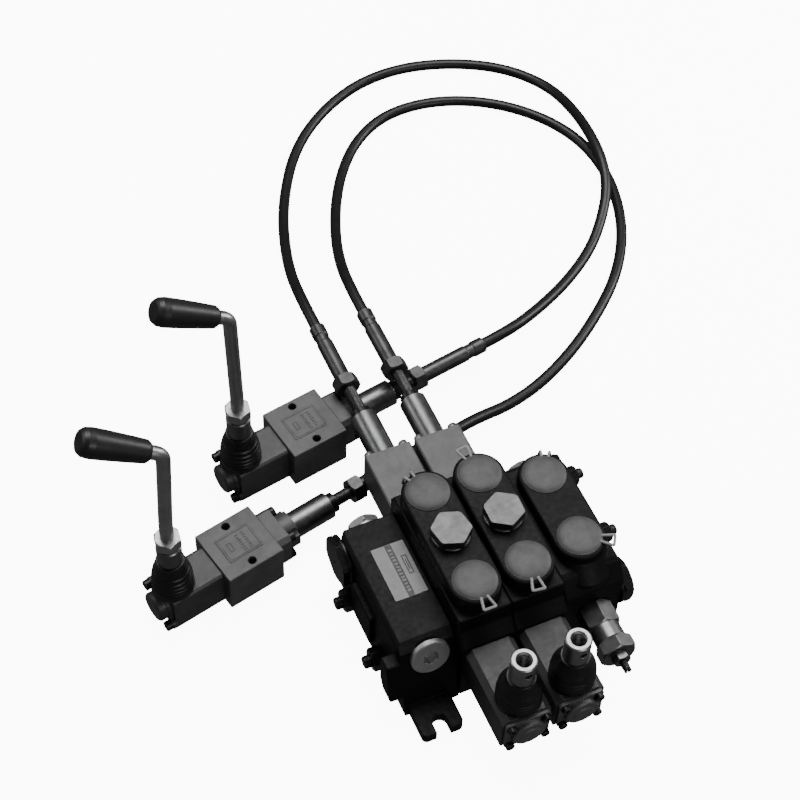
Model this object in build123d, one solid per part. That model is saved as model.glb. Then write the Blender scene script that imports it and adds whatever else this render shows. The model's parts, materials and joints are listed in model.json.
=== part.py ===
"""Sectional hydraulic directional valve with two remote lever stations on push-pull cables.

Units are millimetres.  +Z is up and Z = 0 is the surface that everything stands on.
X runs along the stack of sections, Y along the spools, with the levers at -Y and the
cables at +Y.  X = 0 is the joint between the two working sections and Y = 0 their centre line.
"""
import os
from math import atan2, cos, degrees, pi, radians, sin, sqrt, tan

from build123d import *

# ---------------------------------------------------------------- driving dimensions
PITCH = 44.0                  # width of a working section along X
INLET_WIDTH = 50.0            # width of the inlet section
END_WIDTH = 46.0              # width of the end section
SPOOL_Z = 48.0                # height of the spool axes
RIDGE_Z = 107.5               # top of the ridges that carry the ports
SHOULDER_Z = 93.0             # shoulders beside the ridges
RIDGE_HALF = 20.4             # half width of a ridge
BODY_FRONT = -75.0            # flange for the lever boxes
BODY_BACK = 62.0              # flange for the spring housings
PORT_Y = 42.7                 # A and B ports, each side of the centre line
PORT_BORE_R = 12.1            # G3/4 thread, minor radius
CAP_R = 17.3                  # flange of a port cap
CAP_THICK = 2.5
CAP_PLUG_R = 11.8
TAB_THICK = 1.4               # pull tab of a port cap
TAB_FOLD_X = 22.4             # a folded tab, measured from the middle of its cap
TAB_FOLD_LOW = -9.0
SPOOL_R = 9.0
SPOOL_FIT = 0.05              # radial running clearance of spools, sliders and pivots
ROD_Y = 28.5                  # tie rods, each side of the centre line
ROD_LOW_Z = 15.0
ROD_HIGH_Z = 80.0
ROD_LOW_R = 5.0
ROD_HIGH_R = 4.0
ROD_CLEAR = 0.5
CHECK_AF = 28.2               # hexagon of a load check plug
CHECK_TOP = 118.7

INLET_X = 69.0                # centre of the inlet section's ridge
INLET_RIDGE_Z = 104.5
INLET_PORTS = (24.3, -36.8)   # Y of the two ports of the inlet section
RELIEF_X = 70.0               # axis of the relief valve, which points along -Y
RELIEF_Z = 47.0
RELIEF_FRONT = -70.0          # front face of the inlet section
RELIEF_CAVITY_R = 7.0
RELIEF_BORE_R = 10.0
RELIEF_SCREW_R = 3.0
PROW_Z = 97.0                 # boss under the tank port, which leans out over the relief valve
PROW_REACH = 18.0             # how far it leans out and how far it comes down

PRESSURE_Z = 70.0             # pressure gallery, through every section
TANK_Z = 24.0                 # tank gallery
GALLERY_R = 5.0
SEAL_R = 8.0
SEAL_DEPTH = 1.2
CHECK_BORE_R = 9.5
CHECK_SEAT_Z = 80.0
CHECK_PLUG_LOW = 92.0         # lower end of a load check plug
CHECK_STEM_R = 5.0
CHECK_GUIDE_TOP = 104.0       # top of the bore that guides the poppet

END_X = -PITCH - END_WIDTH    # left face of the end section
END_TOP = 74.0
END_BACK = 58.0
END_FRONT_LOW = -76.0
FOOT_X = (-86.5, -52.5)
FOOT_FRONT = -103.0
FOOT_THICK = 10.0
SLOT_HALF = 6.0
SOCKET_PLUG_X = -66.0
SOCKET_PLUG_Z = 58.0
SOCKET_PLUG_TILT = 13.5       # degrees that the plug's face leans back
SIDE_BORE_R = 10.0            # bores of the large plugs in the outer faces
SIDE_PLUG_Y = 45.5
SIDE_PLUG_Z = 48.5
RIGHT_PLUG_Y = -55.0
RIGHT_PLUG_Z = 50.0
REAR_PLUG_Z = 62.0            # small plug in the back of the inlet section
END_PLUG_Z = 55.0             # small plug in the back of the end section
REAR_BORE_R = 9.0
INLET_BACK = 52.0

CAST_ROUND = 1.6              # rounding of the cast edges

LEVER_ARM = 20.0              # pivot height above the spool axis
BOX_HALF_WIDTH = 20.0
BOX_HALF_HEIGHT = 18.0
BOX_NOSE = 16.0               # box beyond the pivot
COLLAR_R = 15.6               # collar that the boot is clamped on
STATION_BOX_HALF = 17.0       # the stations' lever boxes are slimmer and shorter
STATION_BOX_LOW = -17.5
STATION_BOX_NOSE = 10.0
STATION_BOLT = (14.0, 12.0)   # diagonal bolts of a station's end flange
VALVE_SCREWS = [(-14.5, -13.0), (14.5, -13.0), (-14.0, 11.0), (14.0, 11.0)]
VALVE_PIVOT_Y = -124.0
SOCKET_R = 10.0
SOCKET_LOW = 38.0             # lever socket, heights above the spool axis
SOCKET_TOP = 74.0
LEVER_THREAD_R = 5.1          # M12 thread, minor radius

HOUSING_BACK = 118.0          # rear face of the spring housings
TUBE_R = 11.3
TUBE_END = 165.0
HUB_END = 171.0
NUT_START = 197.0
SLEEVE_START = 208.0
SLEEVE_END = 268.0
SLEEVE_R = 7.0
HUB_R = 8.5
THREAD_R = 5.0
CORE_R = 2.5
CABLE_R = 5.0

STATION_L = 51.0              # station block along its axis
STATION_W = 51.0
STATION_H = 41.0
STATION_Z = 20.5              # height of the station's slider axis
STATION_PIVOT = -36.0         # pivot, measured from the block's lever side
STATION_HOLE_Y = 19.2
STATION_HOLE_R = 3.5
STATIONS = {"near": (-184.0, 90.1, 12.4), "far": (-92.0, 180.3, 9.9)}
LEVER_YAW = {"near": -22.0, "far": -11.0}       # how the two levers were screwed home
LEVER_LEAN = {"near": (-3.4, 3.6), "far": (0.5, -2.4)}

SECTION_X = {1: -PITCH / 2, 2: PITCH / 2}


# ---------------------------------------------------------------- small helpers
def block(x0, x1, y0, y1, z0, z1):
    """Box between two corners."""
    return Pos((x0 + x1) / 2, (y0 + y1) / 2, (z0 + z1) / 2) * Box(x1 - x0, y1 - y0, z1 - z0)


def rod(start, end, radius):
    """Solid cylinder from one point to another."""
    a, b = Vector(*start), Vector(*end)
    plane = Plane(origin=a, z_dir=b - a)
    return extrude(plane * Circle(radius), (b - a).length)


def pipe(start, end, outer, inner):
    """Hollow cylinder from one point to another."""
    a, b = Vector(*start), Vector(*end)
    plane = Plane(origin=a, z_dir=b - a)
    return extrude(plane * (Circle(outer) - Circle(inner)), (b - a).length)


def hexagon(start, end, across_flats, turn=0.0, x_dir=None):
    """Hexagonal prism from one point to another."""
    a, b = Vector(*start), Vector(*end)
    plane = Plane(origin=a, x_dir=x_dir, z_dir=b - a)
    outline = Rot(0, 0, turn) * RegularPolygon(across_flats / 2, 6, major_radius=False)
    return extrude(plane * outline, (b - a).length)


def turned(start, direction, profile):
    """Turned piece: (distance along the axis, radius) points, closed back along the axis."""
    points = [(profile[0][0], 0.0)] + list(profile) + [(profile[-1][0], 0.0)]
    face = make_face(Polyline(*[(r, s) for s, r in points], close=True))
    plane = Plane(origin=start, z_dir=direction)
    solid = revolve(Plane.XZ * face, Axis.Z, 360)
    return plane.location * solid


def nut(start, end, across_flats, hole_r, turn=0.0, x_dir=None, cut=0.08):
    """Hexagon nut with chamfered corners; cut is the chamfer's share of the width."""
    a, b = Vector(*start), Vector(*end)
    corner = across_flats / sqrt(3)
    length = (b - a).length
    edge = min(cut * across_flats, length / 4)
    cone = turned(start, b - a, [(0, corner - edge), (edge, corner + 0.1),
                                 (length - edge, corner + 0.1), (length, corner - edge)])
    return (hexagon(start, end, across_flats, turn, x_dir) & cone) - rod(start, end, hole_r)


def spring(start, direction, mean_r, wire_r, length, turns):
    """Helical compression spring whose wire ends lie just inside its length."""
    pitch = (length - 2 * wire_r) / turns
    path = Helix(pitch=pitch, height=length - 2 * wire_r, radius=mean_r)
    section = Plane(origin=path @ 0, z_dir=path % 0) * Circle(wire_r)
    coil = sweep(section, path=path, is_frenet=True)
    return Plane(origin=start, z_dir=direction).location * (Pos(0, 0, wire_r) * coil)


def ridge(x, y_low, y_high, z_low, z_high):
    """Upright slab with round ends, the raised part round the ports."""
    length = y_high - y_low + 2 * RIDGE_HALF
    outline = SlotOverall(length, 2 * RIDGE_HALF, rotation=90)
    slab = extrude(Pos(x, (y_low + y_high) / 2, z_low) * outline, z_high - z_low)
    return fillet(slab.edges().group_by(Axis.Z)[-1], 2.5)


def group(*solids):
    """Several separate solids kept in one node."""
    return Compound(children=[piece for item in solids for piece in item.solids()])


NODES = {}


def add(name, shape):
    """Keep a finished sub-part under its node name."""
    NODES[name] = shape


# ---------------------------------------------------------------- valve sections
def side_profile(points, x0, x1):
    """Plate with a (y, z) outline, between two X values."""
    face = make_face(Plane.YZ * Polyline(*points, close=True))
    return Pos(x0, 0, 0) * extrude(face, x1 - x0, dir=(1, 0, 0))


def cast_edges(body, radius=CAST_ROUND):
    """Round every edge of a casting except those of its flat base."""
    return fillet([edge for edge in body.edges() if edge.center().Z > 0.01], radius)


def tie_rod_holes(x0, x1, high=True):
    """Clearance holes for the tie rods."""
    holes = rod((x0, ROD_Y, ROD_LOW_Z), (x1, ROD_Y, ROD_LOW_Z), ROD_LOW_R + ROD_CLEAR)
    holes += rod((x0, -ROD_Y, ROD_LOW_Z), (x1, -ROD_Y, ROD_LOW_Z), ROD_LOW_R + ROD_CLEAR)
    if high:
        for y in (-ROD_Y, ROD_Y):
            holes += rod((x0, y, ROD_HIGH_Z), (x1, y, ROD_HIGH_Z), ROD_HIGH_R + ROD_CLEAR)
    return holes


def galleries(x0, x1):
    """Pressure and tank galleries along the stack."""
    both = rod((x0, 0, PRESSURE_Z), (x1, 0, PRESSURE_Z), GALLERY_R)
    return both + rod((x0, 0, TANK_Z), (x1, 0, TANK_Z), GALLERY_R)


def seal_recess(x):
    """Ring grooves in the face of a section that looks towards -X."""
    grooves = pipe((x, 0, PRESSURE_Z), (x + SEAL_DEPTH, 0, PRESSURE_Z), SEAL_R + 1.5, SEAL_R - 1.5)
    return grooves + pipe((x, 0, TANK_Z), (x + SEAL_DEPTH, 0, TANK_Z), SEAL_R + 1.5, SEAL_R - 1.5)


def rear_bore(x, back, z):
    """Bore for a small plug in the back of a section."""
    return rod((x, back - 14, z), (x, back + 2, z), REAR_BORE_R)


def working_section(index):
    """One working section: two ports, a load check under a plug, and a spool bore."""
    x = SECTION_X[index]
    x0, x1 = x - PITCH / 2, x + PITCH / 2
    body = side_profile([(BODY_FRONT, 0), (BODY_FRONT, 68), (-66, 80), (-64, SHOULDER_Z),
                         (BODY_BACK - 5, SHOULDER_Z), (BODY_BACK, 84), (BODY_BACK, 0)], x0, x1)
    body = cast_edges(body)
    body += ridge(x, -PORT_Y, PORT_Y, SHOULDER_Z - 5, RIDGE_Z)
    for y in (-PORT_Y, PORT_Y):
        body -= rod((x, y, RIDGE_Z - 13), (x, y, RIDGE_Z + 1), PORT_BORE_R)
        body -= rod((x, y, SPOOL_Z), (x, y, RIDGE_Z - 12), 6.0)
    body -= rod((x, 0, CHECK_SEAT_Z), (x, 0, RIDGE_Z + 1), CHECK_BORE_R)
    body -= rod((x, 0, SPOOL_Z), (x, 0, CHECK_SEAT_Z + 1), 5.0)
    body -= rod((x, BODY_FRONT - 1, SPOOL_Z), (x, BODY_BACK + 1, SPOOL_Z), SPOOL_R + SPOOL_FIT)
    body -= galleries(x0 - 1, x1 + 1)
    body -= rod((x, -20, TANK_Z), (x, 20, TANK_Z), 3.5)
    for y in (-20, 20):
        body -= rod((x, y, TANK_Z), (x, y, SPOOL_Z), 3.5)
    body -= seal_recess(x0)
    if index == 1:
        body -= tie_rod_holes(x0 - 1, x1 + 1, high=False)
        for y in (-ROD_Y, ROD_Y):
            body -= rod((x1 - 30, y, ROD_HIGH_Z), (x1 + 1, y, ROD_HIGH_Z), ROD_HIGH_R)
    else:
        body -= tie_rod_holes(x0 - 1, x1 + 1)
    return body


def front_slope(z):
    """Y of the end section's leaning front face at a height."""
    return END_FRONT_LOW + z * tan(radians(SOCKET_PLUG_TILT))


def end_section():
    """Low end section with a name plate on top, a foot, and a plug in its leaning front."""
    x0, x1 = END_X, -PITCH
    top_front = front_slope(END_TOP - 7)
    body = side_profile([(END_FRONT_LOW, 0), (top_front, END_TOP - 7), (top_front + 7, END_TOP),
                         (END_BACK - 3, END_TOP), (END_BACK, END_TOP - 5), (END_BACK, 0)], x0, x1)
    body = chamfer(body.edges().filter_by(Axis.Y).group_by(Axis.Z)[-1].sort_by(Axis.X)[0], 3)
    corner = [(x0 - 1, END_BACK - 7), (x0 + 7, END_BACK + 1), (x0 - 1, END_BACK + 1)]
    body -= extrude(Pos(0, 0, -1) * make_face(Polyline(*corner, close=True)), END_TOP + 2)
    body = cast_edges(body, 1.2)
    head = side_profile([(front_slope(20), 20), (front_slope(58), 58), (-50, 58), (-50, 30),
                         (-56, 20)], x0 - 11, x0 + 5)
    body += cast_edges(head)
    body += cast_edges(block(x0 - 4, x0 + 5, -14, 23, 14, 50))
    foot = block(*FOOT_X, FOOT_FRONT, -60, 0, FOOT_THICK)
    foot = fillet(foot.edges().filter_by(Axis.Z).group_by(Axis.Y)[0], 4)
    foot_x = sum(FOOT_X) / 2
    foot -= block(foot_x - SLOT_HALF, foot_x + SLOT_HALF, FOOT_FRONT - 1, FOOT_FRONT + 8, -1, 11)
    foot -= rod((foot_x, FOOT_FRONT + 8, -1), (foot_x, FOOT_FRONT + 8, 11), SLOT_HALF)
    body += foot
    body -= tie_rod_holes(x0 - 12, x1 + 1, high=False)
    for y in (-ROD_Y, ROD_Y):
        body -= rod((x0 - 12, y, ROD_LOW_Z), (x0, y, ROD_LOW_Z), 12)
    body -= rod((x0 + 20, 0, PRESSURE_Z - 12), (x1 + 1, 0, PRESSURE_Z - 12), 4.0)
    body -= rod((x0 + 20, 0, TANK_Z), (x1 + 1, 0, TANK_Z), GALLERY_R)
    plug = socket_plug_axis()
    body -= rod(plug[0], plug[1], 13.0)
    body -= rod((x0 - 12, SIDE_PLUG_Y, SIDE_PLUG_Z), (x0 + 12, SIDE_PLUG_Y, SIDE_PLUG_Z), SIDE_BORE_R)
    body -= rear_bore(SOCKET_PLUG_X, END_BACK, END_PLUG_Z)
    return body


def socket_plug_axis():
    """Inner end and outer end of the bore for the socket plug, square to the leaning face."""
    lean = radians(SOCKET_PLUG_TILT)
    out = Vector(0, -cos(lean), sin(lean))
    centre = Vector(SOCKET_PLUG_X, front_slope(SOCKET_PLUG_Z), SOCKET_PLUG_Z)
    return tuple(centre - out * 14), tuple(centre + out * 20)


def socket_plug():
    """Flat round plug with a hexagon socket."""
    lean = radians(SOCKET_PLUG_TILT)
    out = Vector(0, -cos(lean), sin(lean))
    centre = Vector(SOCKET_PLUG_X, front_slope(SOCKET_PLUG_Z), SOCKET_PLUG_Z)
    plug = turned(tuple(centre - out * 13), out,
                  [(0, 12.0), (1, 13.0), (13, 13.0), (13, 16.0), (16.2, 16.0), (17, 15.2)])
    return plug - hexagon(tuple(centre - out * 6), tuple(centre + out * 18), 12.0)


def inlet_section():
    """Inlet section with the pressure and tank ports and the relief valve's seat."""
    x0, x1 = PITCH, PITCH + INLET_WIDTH
    body = side_profile([(RELIEF_FRONT, 0), (RELIEF_FRONT, 74), (-60, 90), (-56, 92),
                         (44, 92), (INLET_BACK, 82), (INLET_BACK, 0)], x0, x1)
    body = fillet(body.edges().filter_by(Axis.Y).group_by(Axis.Z)[-1].sort_by(Axis.X)[-1], 5)
    body = cast_edges(body, 1.2)
    body += ridge(INLET_X, INLET_PORTS[1], INLET_PORTS[0], 86, INLET_RIDGE_Z)
    foot = Pos(INLET_X, INLET_PORTS[1], PROW_Z) * Circle(RIDGE_HALF - 0.4)
    prow = extrude(foot, PROW_REACH * sqrt(2), dir=(0, -1, -1))
    body += fillet(prow.edges().group_by(Axis.Z)[0], 3.0)
    for y, offset in zip(INLET_PORTS, (-7.0, -5.0)):
        body -= rod((INLET_X, y, INLET_RIDGE_Z - 13), (INLET_X, y, INLET_RIDGE_Z + 1), PORT_BORE_R)
        body -= rod((INLET_X, y + offset, 60), (INLET_X, y + offset, INLET_RIDGE_Z - 12), 3.8)
    body -= galleries(x0 - 1, INLET_X)
    body -= seal_recess(x0)
    body -= tie_rod_holes(x0 - 1, x1 + 1)
    body -= rod(relief_at(1), relief_at(-34), RELIEF_BORE_R)
    body -= rod(relief_at(-33), (RELIEF_X, 18, RELIEF_Z), 4.0)
    body -= rod((RELIEF_X, -42, TANK_Z), (RELIEF_X, -42, RELIEF_Z), 3.8)
    body -= rod((RELIEF_X, -43, TANK_Z), (RELIEF_X, 1, TANK_Z), 3.8)
    body -= rod((x1 - 12, RIGHT_PLUG_Y, RIGHT_PLUG_Z), (x1 + 1, RIGHT_PLUG_Y, RIGHT_PLUG_Z), SIDE_BORE_R)
    body -= rear_bore(INLET_X, INLET_BACK, REAR_PLUG_Z)
    return body


def hex_plug(start, direction, bore_r, across_flats, washer_r, head):
    """Threaded plug: a spigot that fills its bore, a washer face and a hexagon head."""
    axis = Vector(*direction)
    origin = Vector(*start)
    plug = rod(tuple(origin - axis * 12), tuple(origin), bore_r)
    plug += turned(tuple(origin), axis, [(0, washer_r), (1.7, washer_r), (2.5, washer_r - 1.0)])
    plug += nut(tuple(origin + axis * 2.5), tuple(origin + axis * (2.5 + head)), across_flats, 1.5)
    return plug + rod(tuple(origin), tuple(origin + axis * (1.5 + head)), 2.0)


def side_plugs():
    """Large hexagon plugs in the outer faces of the stack."""
    left = hex_plug((END_X, SIDE_PLUG_Y, SIDE_PLUG_Z), (-1, 0, 0), SIDE_BORE_R, 36.0, 20.5, 5.5)
    place = (PITCH + INLET_WIDTH, RIGHT_PLUG_Y, RIGHT_PLUG_Z)
    right = hex_plug(place, (1, 0, 0), SIDE_BORE_R, 32.0, 18.0, 8.5)
    return group(left, right)


def rear_plugs():
    """Small zinc plugs in the backs of the end section and the inlet section."""
    spots = [(SOCKET_PLUG_X, END_BACK, END_PLUG_Z), (INLET_X, INLET_BACK, REAR_PLUG_Z)]
    plugs = [hex_plug(spot, (0, 1, 0), REAR_BORE_R, 24.0, 13.5, 6.0) for spot in spots]
    return group(*plugs)


def tie_rods():
    """Two long lower rods through the whole stack and two upper studs from the first section."""
    right = PITCH + INLET_WIDTH
    pieces = []
    for y in (-ROD_Y, ROD_Y):
        pieces.append(rod((END_X - 15, y, ROD_LOW_Z), (right + 15, y, ROD_LOW_Z), ROD_LOW_R))
        pieces.append(rod((-29, y, ROD_HIGH_Z), (right + 13, y, ROD_HIGH_Z), ROD_HIGH_R))
    return group(*[chamfer(p.edges(), 0.8) for p in pieces])


def tie_rod_nuts():
    """Nuts on both ends of the lower rods and on the upper studs."""
    right = PITCH + INLET_WIDTH
    pieces = []
    for y in (-ROD_Y, ROD_Y):
        pieces.append(nut((END_X, y, ROD_LOW_Z), (END_X - 9, y, ROD_LOW_Z), 17.0, ROD_LOW_R))
        pieces.append(nut((right, y, ROD_LOW_Z), (right + 9, y, ROD_LOW_Z), 17.0, ROD_LOW_R))
        pieces.append(nut((right, y, ROD_HIGH_Z), (right + 7.5, y, ROD_HIGH_Z), 14.0, ROD_HIGH_R))
    return group(*pieces)


def section_seals():
    """Seal rings in the grooves between the sections."""
    rings = []
    for x in (-PITCH, 0.0, PITCH):
        for z in (PRESSURE_Z, TANK_Z):
            if x == -PITCH and z == PRESSURE_Z:
                continue
            rings.append(pipe((x, 0, z), (x + SEAL_DEPTH, 0, z), SEAL_R + 1.4, SEAL_R - 1.4))
    return group(*rings)


def name_plate():
    """Plain name plate on the end section."""
    plate = block(-75.0, -48.0, -19.5, 29.5, END_TOP, END_TOP + 0.6)
    return fillet(plate.edges().filter_by(Axis.Z), 1.0)


def pull_tab(folded):
    """Open frame on a cap's flange, pointing along +X; a folded one hangs behind the ridge."""
    if folded:
        strap = block(16.0, TAB_FOLD_X, -3.6, 3.6, 0, TAB_THICK)
        hanging = block(TAB_FOLD_X - TAB_THICK, TAB_FOLD_X, -5.0, 5.0, TAB_FOLD_LOW, TAB_THICK)
        window = block(TAB_FOLD_X - 3, TAB_FOLD_X + 1, -2.8, 2.8, TAB_FOLD_LOW + 2.4, -1.5)
        return strap + hanging - window
    frame = make_face(Polyline((16.0, -3.6), (28.0, -6.2), (28.0, 6.2), (16.0, 3.6), close=True))
    window = make_face(Polyline((14.0, -1.4), (25.6, -3.8), (25.6, 3.8), (14.0, 1.4), close=True))
    window &= make_face(Polyline((19.0, -9), (25.6, -9), (25.6, 9), (19.0, 9), close=True))
    return extrude(frame - window, TAB_THICK)


def port_cap(x, y, face_z, tab_angle, folded=False):
    """Plastic cap with a plug that sits in the port and a pull tab on its flange."""
    cap = turned((x, y, face_z - 9), (0, 0, 1),
                 [(0, CAP_PLUG_R - 1), (1, CAP_PLUG_R), (9, CAP_PLUG_R), (9, CAP_R),
                  (9 + 0.6 * CAP_THICK, CAP_R), (9 + CAP_THICK, CAP_R - 1.6)])
    return cap + Pos(x, y, face_z) * (Rot(0, 0, tab_angle) * pull_tab(folded))


def check_plugs():
    """Hexagon plugs over the load checks, each with a bore that guides its poppet."""
    plugs = []
    for x, turn in zip(SECTION_X.values(), (40.5, 28.2)):
        plug = rod((x, 0, CHECK_PLUG_LOW), (x, 0, RIDGE_Z), CHECK_BORE_R)
        plug += turned((x, 0, RIDGE_Z), (0, 0, 1), [(0, 15.4), (2.2, 15.4), (2.7, 14.9)])
        plug += nut((x, 0, RIDGE_Z + 2.7), (x, 0, CHECK_TOP), CHECK_AF, 1.0, turn=turn, cut=0.03)
        plug += rod((x, 0, RIDGE_Z + 2), (x, 0, CHECK_TOP), 1.2)
        plug -= rod((x, 0, CHECK_PLUG_LOW - 1), (x, 0, CHECK_GUIDE_TOP), CHECK_STEM_R + SPOOL_FIT)
        plugs.append(plug)
    return group(*plugs)


def check_poppet(x):
    """Load check poppet: a cone on a stem that slides in the plug."""
    seat = turned((x, 0, CHECK_SEAT_Z), (0, 0, 1),
                  [(0, 5.4), (0, 7.0), (3.0, 7.0), (3.0, CHECK_STEM_R), (16.0, CHECK_STEM_R)])
    return seat - rod((x, 0, CHECK_SEAT_Z + 6), (x, 0, CHECK_SEAT_Z + 17), 3.6)


def check_spring(x):
    """Light spring between the poppet and its plug."""
    low = CHECK_SEAT_Z + 6.2
    return spring((x, 0, low), (0, 0, 1), 2.7, 0.4, CHECK_GUIDE_TOP - low - 0.2, 7)


def spool(x):
    """Main spool: lands and grooves, and a flattened front end with the lever's slot."""
    y_end = VALVE_PIVOT_Y - 7.5
    lands = [(0, 7.2), (0.8, 8.0), (45, 8.0), (45, SPOOL_R), (84, SPOOL_R), (84, 6.5), (96, 6.5),
             (96, SPOOL_R), (124, SPOOL_R), (124, 6.5), (139, 6.5), (139, SPOOL_R),
             (167, SPOOL_R), (167, 6.5), (179, 6.5), (179, SPOOL_R), (191.5, SPOOL_R)]
    body = turned((x, y_end, SPOOL_Z), (0, 1, 0), lands)
    return body - lever_slot(Location((x, VALVE_PIVOT_Y, SPOOL_Z), (0, 0, -90)))


def lever_slot(place):
    """Flat and cross slot that take the ball of a lever arm, centred on the pivot's foot."""
    cut = block(-16, 8, -10, 10, 3, 10) + block(-4.2, 4.2, -10, 10, -5.5, 10)
    return place * cut


def spool_hardware(x):
    """Spring bolt, two spring seats and the pull rod of the cable, which move with the spool."""
    bolt = turned((x, 60, SPOOL_Z), (0, 1, 0), [(0, 3.5), (39, 3.5), (39, 6.0), (42.5, 6.0),
                                                (42.5, CORE_R), (116, CORE_R)])
    front = pipe((x, 70, SPOOL_Z), (x, 73, SPOOL_Z), 11.5, 3.5)
    rear = pipe((x, 96, SPOOL_Z), (x, 99, SPOOL_Z), 11.5, 3.5)
    return group(bolt, front, rear)


def centring_spring(x):
    """Centring spring between the two seats."""
    return spring((x, 73.1, SPOOL_Z), (0, 1, 0), 8.0, 1.3, 22.8, 4)


def rear_block(x):
    """Square housing of the centring spring, behind a working section."""
    body = block(x - 20, x + 20, BODY_BACK, HOUSING_BACK, SPOOL_Z - 18, SPOOL_Z + 18)
    body = chamfer(body.edges().filter_by(Axis.Y), 1.2)
    body -= rod((x, BODY_BACK - 1, SPOOL_Z), (x, 110, SPOOL_Z), 13.5)
    body -= rod((x, 109, SPOOL_Z), (x, HOUSING_BACK + 1, SPOOL_Z), 9.0)
    return body


# ---------------------------------------------------------------- lever units
# A lever unit is drawn about the foot of its pivot on the spool axis: +X points outwards,
# away from the spool, Y across, and Z up from the spool axis.
def lever_place(name):
    """Where each of the four lever units goes."""
    if name in STATIONS:
        x, y, angle = STATIONS[name]
        a = radians(angle)
        return Location((x + STATION_PIVOT * cos(a), y + STATION_PIVOT * sin(a), STATION_Z),
                        (0, 0, angle + 180))
    return Location((SECTION_X[name], VALVE_PIVOT_Y, SPOOL_Z), (0, 0, -90))


def lever_box(back, nose, half, low, soften):
    """Housing of one lever: through bore, top opening and collar for the boot."""
    body = block(back, nose, -half, half, low, BOX_HALF_HEIGHT)
    body = soften(body.edges().group_by(Axis.Z)[-1].filter_by(Axis.X))
    body += rod((0, 0, 14), (0, 0, 24), COLLAR_R)
    body -= rod((back - 1, 0, 0), (nose + 1, 0, 0), 12.0)
    body -= block(-10, 10, -7.5, 7.5, 0, 25)
    body -= rod((0, 0, 16), (0, 0, 25), 11.5)
    body -= rod((0, -20, LEVER_ARM), (0, 20, LEVER_ARM), 3.0)
    return body


def valve_lever_box():
    """Lever box on the front of a working section."""
    body = lever_box(VALVE_PIVOT_Y - BODY_FRONT, BOX_NOSE, BOX_HALF_WIDTH, -BOX_HALF_HEIGHT,
                     lambda edges: chamfer(edges, 5.0))
    for y, z in VALVE_SCREWS:
        body -= rod((BOX_NOSE - 8, y, z), (BOX_NOSE + 1, y, z), 2.0)
    return body


def station_lever_box():
    """Lever box of a station, with rounded upper edges."""
    nose = STATION_BOX_NOSE
    body = lever_box(STATION_PIVOT, nose, STATION_BOX_HALF, STATION_BOX_LOW,
                     lambda edges: fillet(edges, 3.5))
    for side in (-1, 1):
        y, z = side * STATION_BOLT[0], -side * STATION_BOLT[1]
        body -= rod((nose - 9, y, z), (nose + 1, y, z), 2.5)
    return body


def pivot_pin():
    """Pin that a lever swings on, held in the collar."""
    return rod((0, -15.2, LEVER_ARM), (0, 15.2, LEVER_ARM), 3.0)


def valve_end_plate():
    """Plate and domed cap that close the end of a lever box."""
    plate = block(BOX_NOSE, BOX_NOSE + 3, -18.5, 18.5, -17.5, 15.5)
    plate = fillet(plate.edges().filter_by(Axis.X), 4.0)
    plate += turned((BOX_NOSE, 0, 0), (1, 0, 0),
                    [(3, 13.5), (6.5, 13.5), (7.5, 12.5), (8.0, 9.0), (9.0, 8.0), (9.6, 5.0)])
    for y, z in VALVE_SCREWS:
        plate -= rod((BOX_NOSE - 1, y, z), (BOX_NOSE + 9, y, z), 2.1)
        plate -= rod((BOX_NOSE + 3, y, z), (BOX_NOSE + 9, y, z), 4.0)
    return plate


def station_end_flange():
    """Two-bolt flange with a hollow domed cap on a station's lever box."""
    nose = STATION_BOX_NOSE
    side, up = STATION_BOLT
    plate = rod((nose, 0, 0), (nose + 3, 0, 0), 14.0)
    for sign in (-1, 1):
        plate += rod((nose, sign * side, -sign * up), (nose + 3, sign * side, -sign * up), 5.0)
    web = Rot(-degrees(atan2(up, side)), 0, 0) * Box(3, 2 * side, 9.0)
    plate += Pos(nose + 1.5, 0, 0) * web
    plate += turned((nose, 0, 0), (1, 0, 0), [(2, 12.5), (9, 12.5), (10.5, 11.0)])
    plate -= rod((nose - 1, 0, 0), (nose + 7.5, 0, 0), 9.0)
    for sign in (-1, 1):
        y, z = sign * side, -sign * up
        plate -= rod((nose - 1, y, z), (nose + 11, y, z), 2.5)
        plate -= rod((nose + 3, y, z), (nose + 11, y, z), 4.4)
    return plate


def socket_screw(x, y, z, radius, head_r, head, reach):
    """Socket head screw that points along -X, with the underside of its head at x."""
    screw = turned((x - reach, y, z), (1, 0, 0),
                   [(0, radius - 0.4), (0.4, radius), (reach, radius), (reach, head_r),
                    (reach + head - 0.4, head_r), (reach + head, head_r - 0.4)])
    return screw - hexagon((x + 0.5 * head, y, z), (x + head + 1, y, z), 1.6 * radius)


def end_screws(name):
    """Screws in the end of one lever box."""
    if name in STATIONS:
        side, up = STATION_BOLT
        spots = [(side, -up), (-side, up)]
        return [socket_screw(STATION_BOX_NOSE + 3, y, z, 2.5, 4.3, 5.0, 11) for y, z in spots]
    return [socket_screw(BOX_NOSE + 3, y, z, 2.0, 3.6, 4.0, 10) for y, z in VALVE_SCREWS]


def boot_ring():
    """Foot of the rubber boot, clamped on the box's collar."""
    ring = turned((0, 0, 18), (0, 0, 1), [(0, 18.2), (7, 18.2), (12.5, 16.8)])
    ring -= rod((0, 0, 17), (0, 0, 24), COLLAR_R)
    ring -= rod((0, 0, 23), (0, 0, 32), 14.8)
    return ring


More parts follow.
